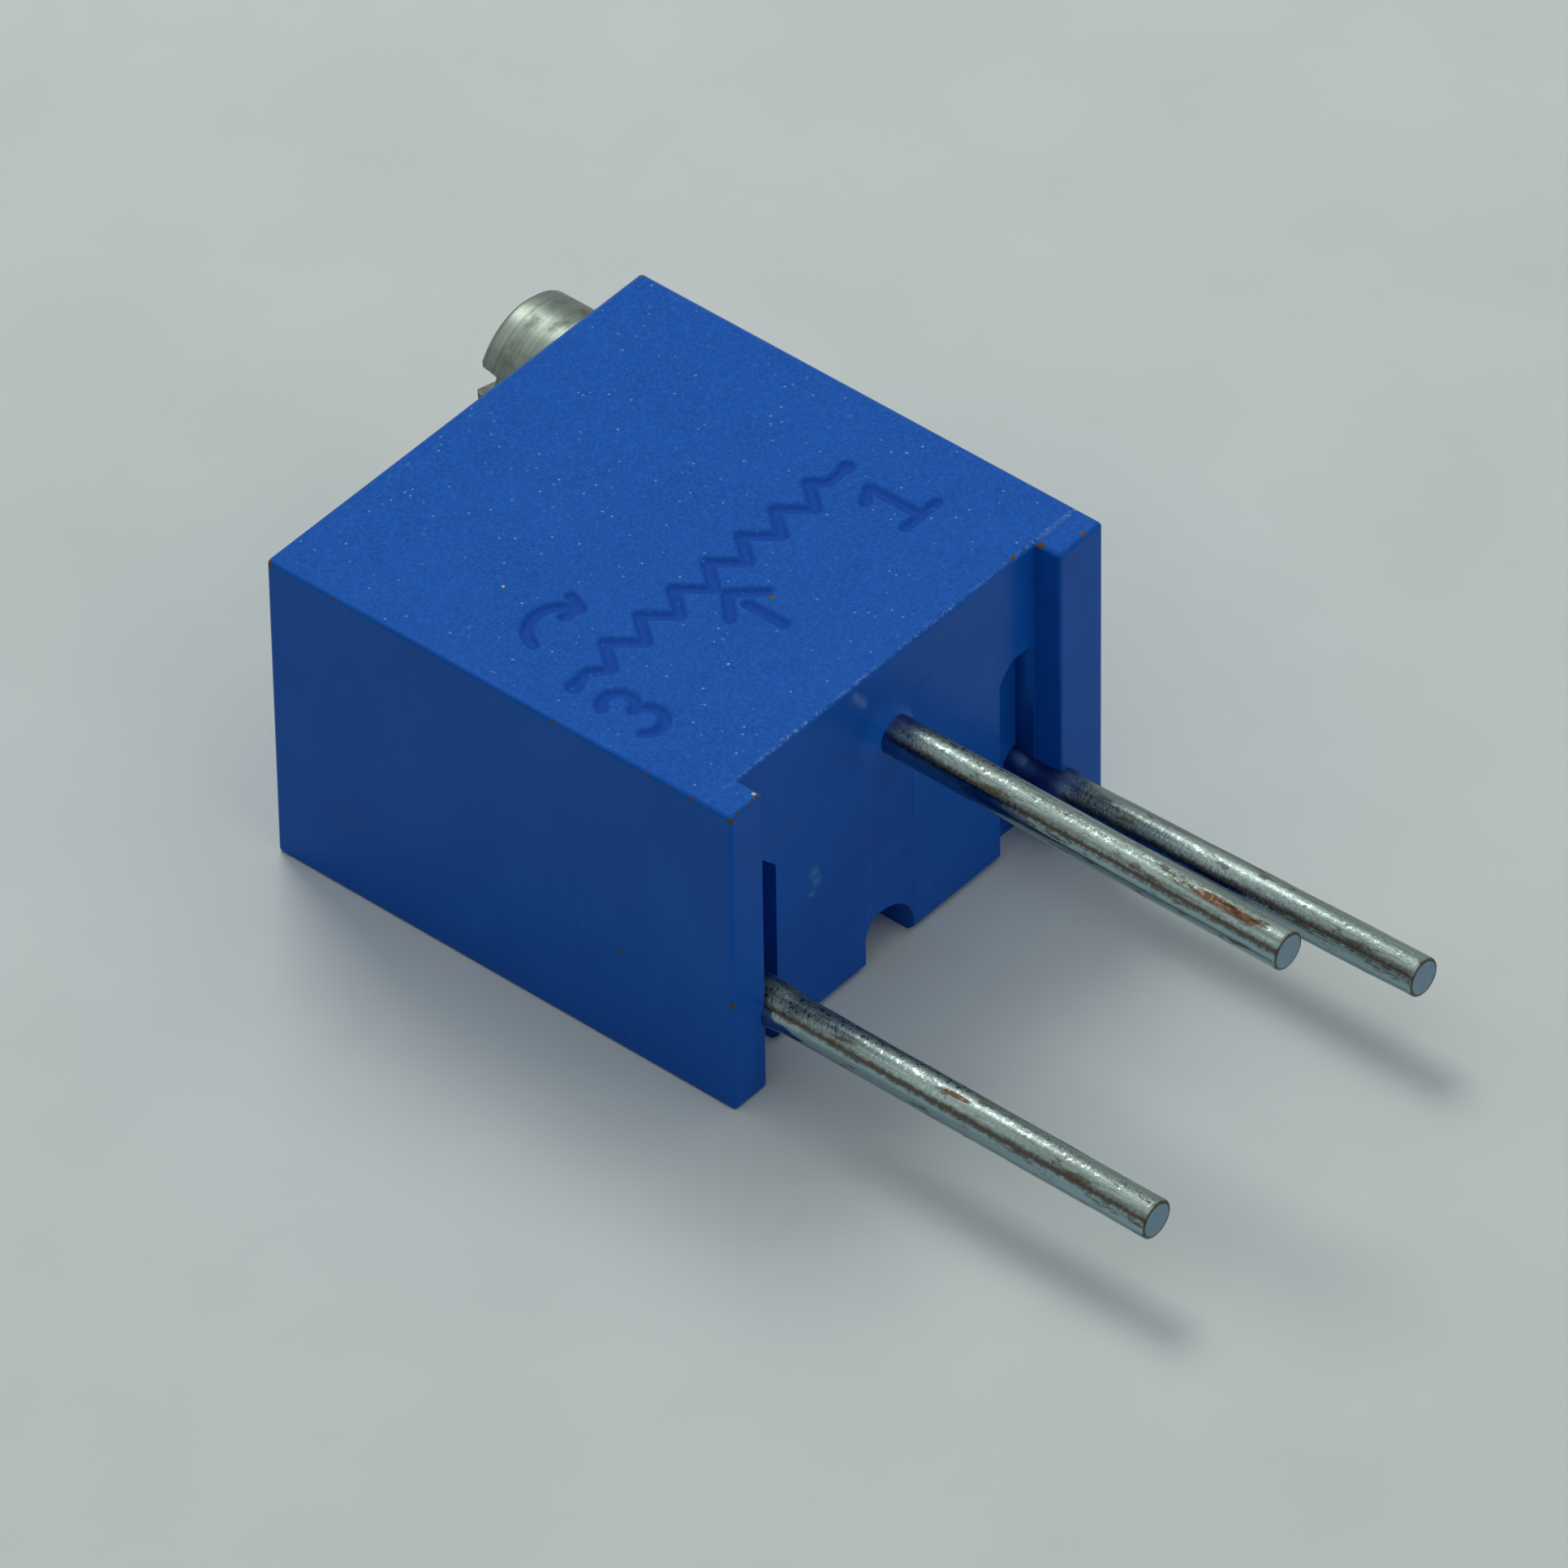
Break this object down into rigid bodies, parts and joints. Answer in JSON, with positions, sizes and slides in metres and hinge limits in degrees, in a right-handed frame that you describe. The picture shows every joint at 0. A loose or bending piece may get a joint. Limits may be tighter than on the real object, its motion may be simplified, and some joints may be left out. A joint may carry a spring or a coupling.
{
  "type": "multi-turn trimming potentiometer",
  "caption": "Small blue moulded trimmer lying on its back: a slotted screw on one face turns a worm-driven wiper, and wire pins leave the opposite face.",
  "frame": {"origin": "middle of the potted back under the main block, on the plane it lies on", "axes": "+Y out of the face with the adjusting screw, opposite the pins; +Z out of the marked face; +X from the pin-3 side to the pin-1 side"},
  "size_m": [0.0066, 0.0136, 0.0045],
  "materials": {
    "blue_moulding": "satin moulded",
    "blue_resin": "glossy cast resin",
    "tinned_copper": "drawn and tinned, lightly stained",
    "solder_alloy": "bright solder",
    "silver_film": "fired metal film",
    "alumina": "fired ceramic",
    "cermet": "fired resistive film",
    "spring_steel": "rolled",
    "nickel_brass": "turned and plated",
    "black_rubber": "moulded",
    "rotor_nylon": "moulded",
    "contact_alloy": "stamped"
  },
  "bodies": {
    "case": {"housing": "blue_moulding", "potting": "blue_resin", "pin_2_seal": "blue_resin", "terminal_pin_1": "tinned_copper", "terminal_pin_2": "tinned_copper", "terminal_pin_3": "tinned_copper", "solder_1": "solder_alloy", "solder_2": "solder_alloy", "solder_3": "solder_alloy", "back_pad_1": "silver_film", "back_pad_2": "silver_film", "back_pad_3": "silver_film", "via_1": "silver_film", "via_2": "silver_film", "via_3": "silver_film", "substrate": "alumina", "resistive_track": "cermet", "end_pad_1": "silver_film", "end_pad_3": "silver_film", "collector": "silver_film", "retaining_clip": "spring_steel"},
    "screw": {"adjusting_screw": "nickel_brass", "o_ring": "black_rubber"},
    "rotor": {"rotor_gear": "rotor_nylon", "wiper": "contact_alloy"}
  },
  "joints": [
    {"name": "screw_turn", "type": "hinge", "parent": "case", "child": "screw", "pos_m": [0.00225, 0.0033, 0.00338], "axis": [0, 1, 0], "range_deg": [-2160, 2160]},
    {"name": "rotor_turn", "type": "hinge", "parent": "case", "child": "rotor", "pos_m": [-0.00038, 0.00013, 0.00338], "axis": [0, 0, 1], "range_deg": [-135, 135]}
  ],
  "couplings": [
    {"joint": "rotor_turn", "follows": "screw_turn", "ratio": -0.0625}
  ]
}
